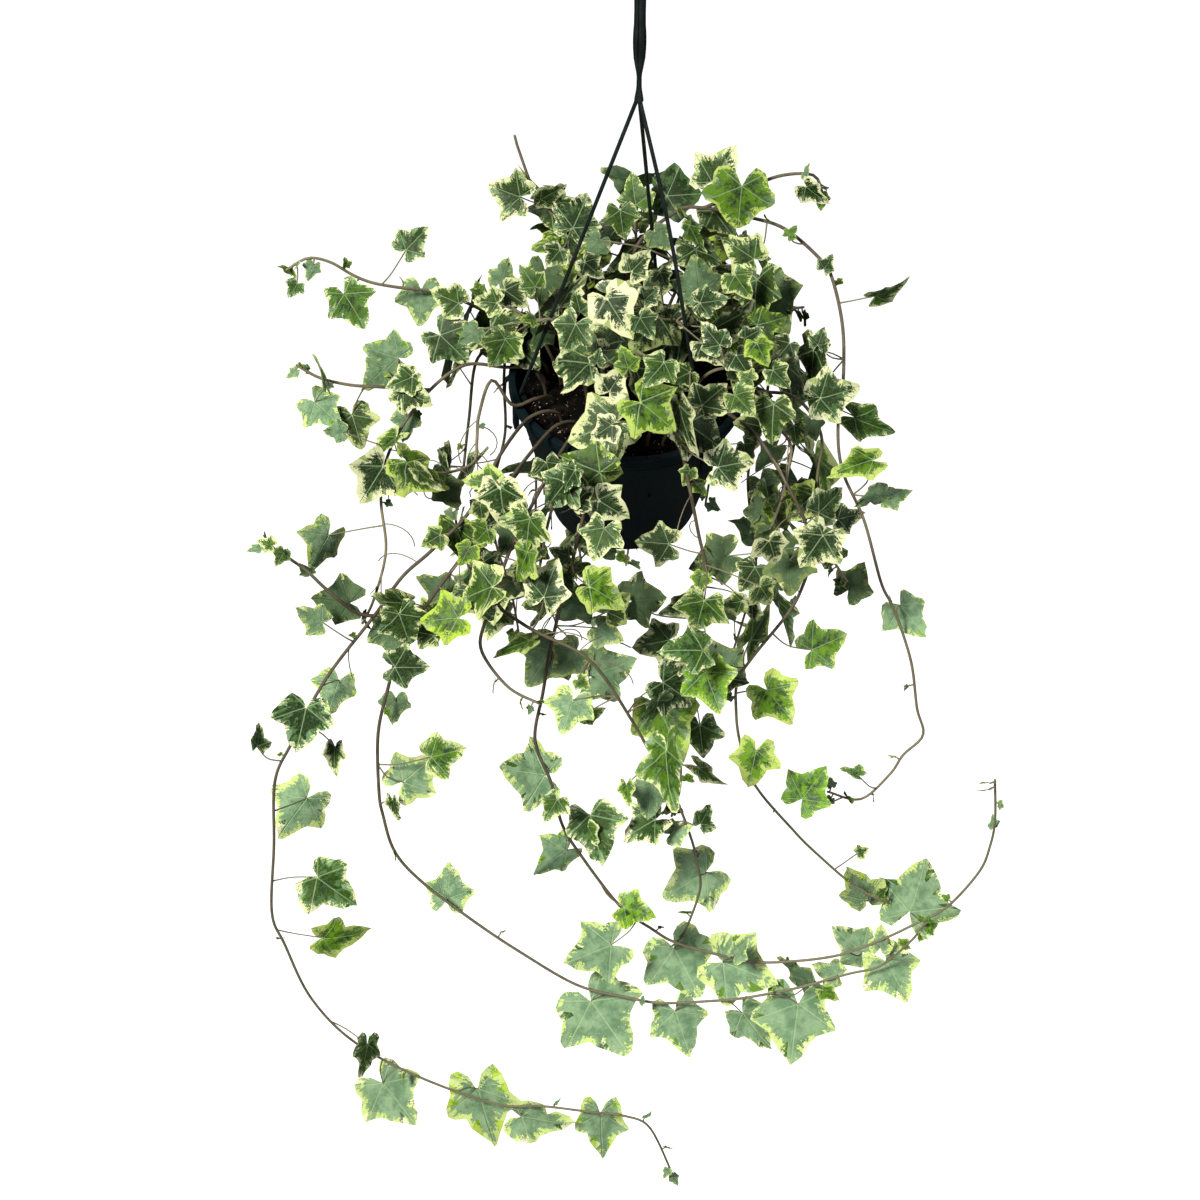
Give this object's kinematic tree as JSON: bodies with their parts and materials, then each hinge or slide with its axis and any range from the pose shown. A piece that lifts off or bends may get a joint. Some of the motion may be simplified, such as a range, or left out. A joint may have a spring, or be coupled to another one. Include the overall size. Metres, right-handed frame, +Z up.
{
  "type": "potted hanging ivy",
  "caption": "Variegated trailing ivy in a round tapered hanging pot, on a moulded hanger of hook and strands.",
  "frame": {"origin": "the point under the top of the hook's bend where it bears on what it hangs from", "axes": "+Z up, +X to the right as the picture shows it, -Y towards the viewer"},
  "size_m": [0.5288, 0.4109, 1.019],
  "materials": {
    "pot_plastic": "satin",
    "hanger_plastic": "satin",
    "potting_mix": "matte",
    "ivy": "satin"
  },
  "bodies": {
    "root": {"back_stem_1": "ivy", "back_stem_2": "ivy", "back_stem_3": "ivy", "back_stem_4": "ivy", "back_stem_5": "ivy", "back_stem_6": "ivy", "back_stem_7": "ivy", "back_stem_8": "ivy", "crown_stem_1": "ivy", "crown_stem_10": "ivy", "crown_stem_11": "ivy", "crown_stem_12": "ivy", "crown_stem_13": "ivy", "crown_stem_14": "ivy", "crown_stem_15": "ivy", "crown_stem_16": "ivy", "crown_stem_17": "ivy", "crown_stem_2": "ivy", "crown_stem_3": "ivy", "crown_stem_4": "ivy", "crown_stem_5": "ivy", "crown_stem_6": "ivy", "crown_stem_7": "ivy", "crown_stem_8": "ivy", "crown_stem_9": "ivy", "hanger_hook": "hanger_plastic", "pot": "pot_plastic", "soil": "potting_mix", "strand_back": "hanger_plastic", "strand_left": "hanger_plastic", "strand_right": "hanger_plastic", "vine_centre": "ivy", "vine_far_left": "ivy", "vine_front": "ivy", "vine_front_left": "ivy", "vine_left": "ivy", "vine_left_drop": "ivy", "vine_left_shoot": "ivy", "vine_right": "ivy", "vine_right_inner": "ivy", "vine_right_low": "ivy", "vine_right_mass": "ivy", "vine_right_sweep": "ivy", "vine_top": "ivy", "vine_top_left": "ivy"}
  },
  "joints": []
}
